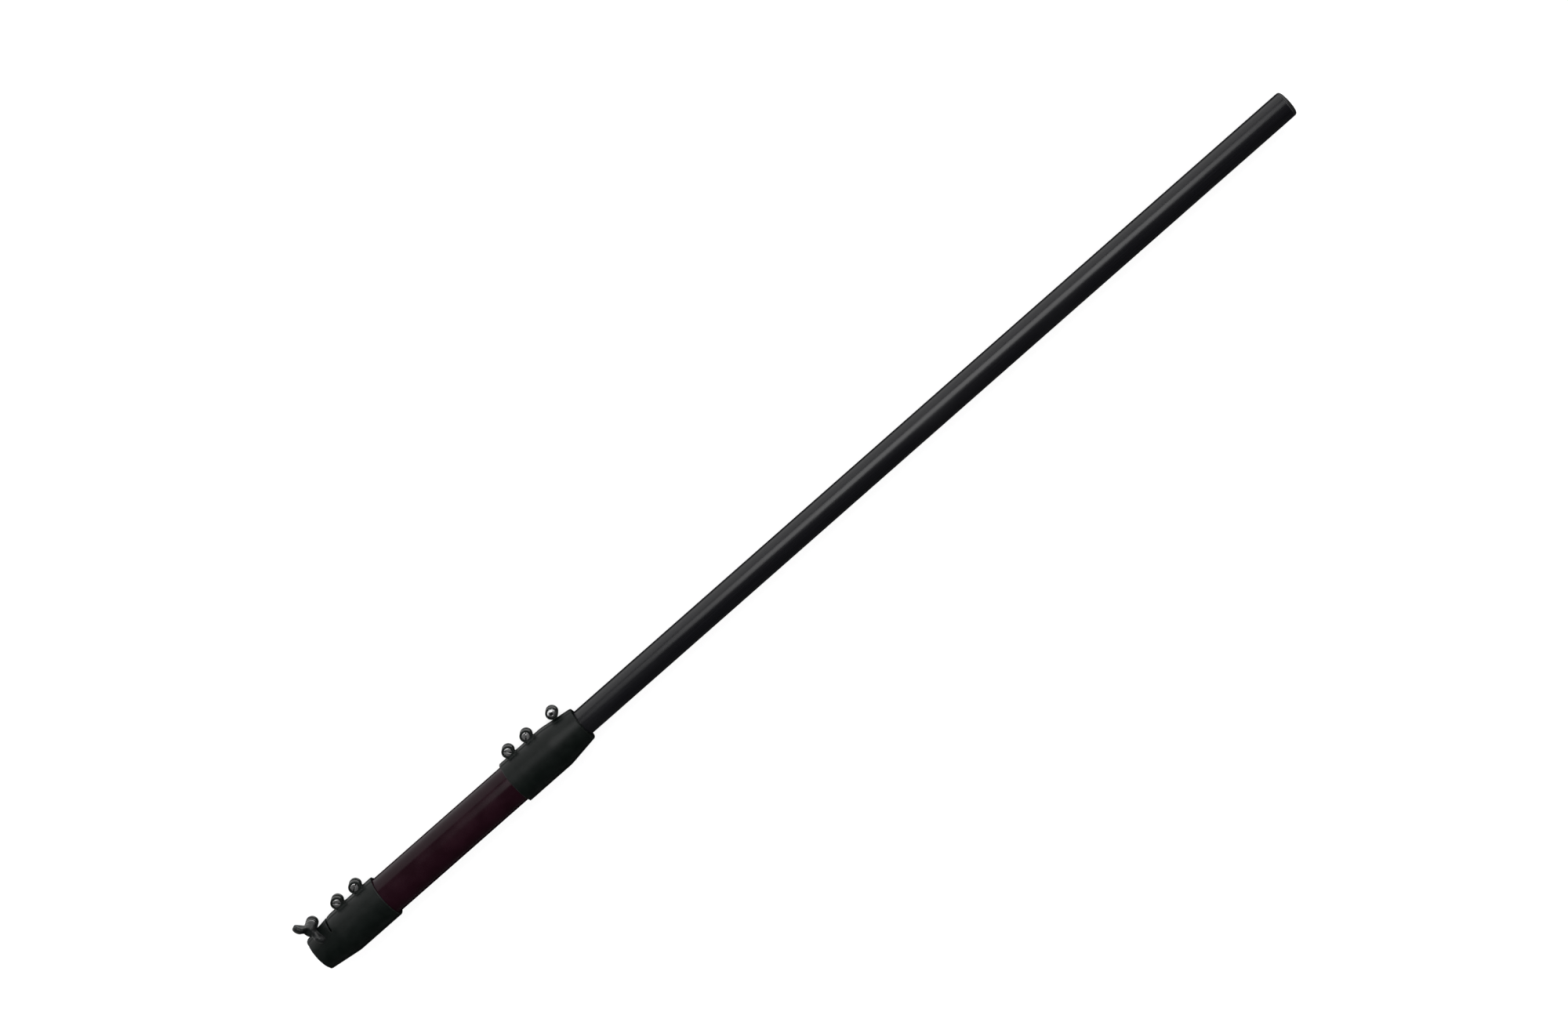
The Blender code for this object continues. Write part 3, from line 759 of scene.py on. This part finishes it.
def tubes():
    place = Matrix.Translation((0, AXIS.y, AXIS.z))
    rings = ("guide_ring_rear", "guide_ring_front")
    start, end = span_of("sleeve_tube")
    mesh = ring(start, end, SLEEVE_R - SLEEVE_WALL, SLEEVE_R, 0.4, TUBE_FACETS)
    piece("sleeve_tube", mesh, "sleeve_finish", place)

    start, end = span_of("inner_tube")
    bore_r = TUBE_R - TUBE_WALL
    corners = [(start, bore_r), (start, TUBE_R)]
    for node in rings:
        low, high = span_of(node)
        corners += [(low - GAP, TUBE_R), (low - GAP, GROOVE_R)]
        corners += [(high + GAP, GROOVE_R), (high + GAP, TUBE_R)]
    corners += [(end, TUBE_R), (end, bore_r)]
    piece("inner_tube", turned(rounded(corners, 0.3), TUBE_FACETS), "tube_finish", place)

    start, end = span_of("guide_bush")
    bore_r, outer = TUBE_R + GAP, half_width("guide_bush")
    waist, slope_end = outer - BUSH_WAIST, BUSH_LAND + BUSH_WAIST
    corners = [(start, bore_r), (start, outer), (start + BUSH_LAND, outer)]
    corners += [(start + slope_end, waist), (end - slope_end, waist)]
    corners += [(end - BUSH_LAND, outer), (end, outer), (end, bore_r)]
    piece("guide_bush", turned(rounded(corners, 0.4), BUSH_FACETS), "white_plastic", place)
    for node in rings:
        low, high = span_of(node)
        mesh = ring(low, high, GROOVE_R + GAP, RING_R, 0.2, RING_FACETS, RING_SPAN)
        piece(node, mesh, "bright_steel", place)

    start, end = span_of("socket_bush")
    outer = half_width("socket_bush")
    corners = [(start, bore_r), (start, outer), (end, outer), (end, SOCKET_LIP_R)]
    corners += [(end - SOCKET_LIP, SOCKET_LIP_R), (end - SOCKET_LIP, bore_r)]
    mesh = turned(rounded(corners, 0.4), SOCKET_FACETS)
    piece("socket_bush", mesh, "black_plastic", place)

    start, end = span_of("tip_cap")
    stem_r, rim = TUBE_R - TUBE_WALL - GAP, end - CAP_RIM
    side = rim + CAP_SIDE
    corners = [(start, 0), (start, stem_r - CAP_LEAD), (start + CAP_LEAD, stem_r)]
    corners += [(rim, stem_r), (rim, TUBE_R), (side, TUBE_R)]
    outline = rounded(corners, 0.2, closed=False)
    for angle in np.linspace(0.1, 1.45, 10):
        out = TUBE_R - CAP_ROUND + CAP_ROUND * math.cos(angle)
        outline.append((side + CAP_ROUND * math.sin(angle), out, 0.5))
    floor = end - GATE_DEPTH
    outline += [(end, GATE_R[1], 0), (floor, GATE_R[0], 0), (floor, 0, 0)]
    mesh = turned(outline, TUBE_FACETS, closed=False)
    piece("tip_cap", mesh, "black_plastic", place)


# --- stage -------------------------------------------------------------------------------------

LENS = 65.5                         # millimetres, on a 36 mm wide sensor
DISTANCE = 2.54                     # metres, like all sizes of the stage
LEAN = math.radians(2.7)            # the camera leans towards the pole's tip
TILT = math.radians(8)              # and this much down from the screws' own direction
IMAGE_ROLL = math.radians(41.37)    # how far the pole rises to the right in the picture
AIM_ALONG = 0.0032
AIM_OUT = 0.0233
FLOOR_HALF = 20
FLOOR_SHADE = 0.9
FLAG_ALONG = 2
FLAG_OUT = (-2, 0.004)              # it ends under the pole
FLAG_HIGH = 0.001
OVERCAST = 4.4                      # watts a square metre
OVERCAST_WIDTH = 90                 # degrees
OVERCAST_LEAN = 40
SOFTBOX_UP = 28                     # degrees above the floor
SOFTBOX_AWAY = 3.2
SOFTBOX_ALONG = 0.42
SOFTBOX_SIZE = (2.16, 2.0)
SOFTBOX_RADIANCE = 3.6
ROOM_SHADE = 0.05                   # what the pole sees beyond the floor
PAPER_SHADE = 0.95                  # what the camera sees there


def camera():
    """Above the front collar's screw heads, the lugs up and the pole's tip to the upper right."""
    turn = Matrix.Rotation(-TILT, 3, "X")
    up = turn @ Vector(JOINTS["clamp_screw_turn"]["axis"]).normalized()
    out = up.cross(Vector((1, 0, 0)))
    back = up * math.cos(LEAN) + Vector((1, 0, 0)) * math.sin(LEAN)
    along = out.cross(back)
    right = along * math.cos(IMAGE_ROLL) - out * math.sin(IMAGE_ROLL)
    top = along * math.sin(IMAGE_ROLL) + out * math.cos(IMAGE_ROLL)
    aim = Vector((AIM_ALONG, AXIS.y, AXIS.z)) + out * AIM_OUT
    data = bpy.data.cameras.new("camera")
    data.lens = LENS
    item = bpy.data.objects.new("camera", data)
    bpy.context.scene.collection.objects.link(item)
    turn = Matrix((right, top, back)).transposed().to_4x4()
    item.matrix_world = Matrix.Translation(aim + back * DISTANCE) @ turn
    bpy.context.scene.camera = item


def elevation(degrees):
    """A direction on the lugs' side, that many degrees above the floor."""
    return Vector((0, math.cos(math.radians(degrees)), math.sin(math.radians(degrees))))


def softbox(centre, length, height, radiance):
    """A soft light along the pole, turned to face it."""
    data = bpy.data.lights.new("softbox", "AREA")
    data.shape = "RECTANGLE"
    data.size, data.size_y = length, height
    data.energy = radiance * math.pi * length * height
    item = bpy.data.objects.new("softbox", data)
    bpy.context.scene.collection.objects.link(item)
    item.location = centre
    back = Vector((0, centre.y, centre.z)).normalized()
    turn = Matrix((Vector((1, 0, 0)), back.cross(Vector((1, 0, 0))), back)).transposed()
    item.rotation_mode = "QUATERNION"
    item.rotation_quaternion = turn.to_quaternion()
    item.visible_camera = False


def overcast(strength, width, lean):
    """Wide, even light from above, leaning to the lugs' side, that adds no highlights."""
    data = bpy.data.lights.new("overcast", "SUN")
    data.energy = strength
    data.angle = math.radians(width)
    data.use_shadow = False
    item = bpy.data.objects.new("overcast", data)
    bpy.context.scene.collection.objects.link(item)
    item.rotation_euler.x = -math.radians(lean)
    item.visible_glossy = False


def grey(level):
    return shade(level, level, level)


def backdrop():
    """A dim room round the pole, pale only where the camera looks past the floor."""
    world = bpy.data.worlds.new("studio")
    bpy.context.scene.world = world
    world.use_nodes = True
    nodes, links = world.node_tree.nodes, world.node_tree.links
    background = nodes["Background"]
    seen = nodes.new("ShaderNodeLightPath").outputs["Is Camera Ray"]
    mix = nodes.new("ShaderNodeMix")
    mix.data_type = "RGBA"
    links.new(seen, mix.inputs[0])
    mix.inputs[6].default_value = grey(ROOM_SHADE)
    mix.inputs[7].default_value = grey(PAPER_SHADE)
    links.new(mix.outputs[2], background.inputs["Color"])


def sheet(name, x, y, z, color):
    """A level rectangle that isn't part of the pole."""
    bm = bmesh.new()
    bm.faces.new([bm.verts.new((x[i], y[j], z)) for i, j in ((0, 0), (1, 0), (1, 1), (0, 1))])
    mesh = bpy.data.meshes.new(name)
    bm.to_mesh(mesh)
    bm.free()
    item = bpy.data.objects.new(name, mesh)
    bpy.context.scene.collection.objects.link(item)
    matt = bpy.data.materials.new(name)
    matt.use_nodes = True
    shader = matt.node_tree.nodes["Principled BSDF"]
    shader.inputs["Base Color"].default_value = color
    shader.inputs["Roughness"].default_value = 0.9
    shader.inputs["Specular IOR Level"].default_value = 0.0
    mesh.materials.append(matt)
    return item


def studio():
    wide = (-FLOOR_HALF, FLOOR_HALF)
    sheet("floor", wide, wide, 0, grey(FLOOR_SHADE))
    # A black flag that only highlights see keeps the pole's far side dark.
    flag = sheet("flag", (-FLAG_ALONG, FLAG_ALONG), FLAG_OUT, FLAG_HIGH, grey(0))
    flag.visible_camera = flag.visible_diffuse = flag.visible_shadow = False
    backdrop()
    overcast(OVERCAST, OVERCAST_WIDTH, OVERCAST_LEAN)
    centre = elevation(SOFTBOX_UP) * SOFTBOX_AWAY + Vector((SOFTBOX_ALONG, 0, 0))
    softbox(centre, *SOFTBOX_SIZE, SOFTBOX_RADIANCE)
    bpy.context.scene.view_settings.view_transform = "Standard"


collars()
front_clamp()
wing()
tubes()
camera()
studio()
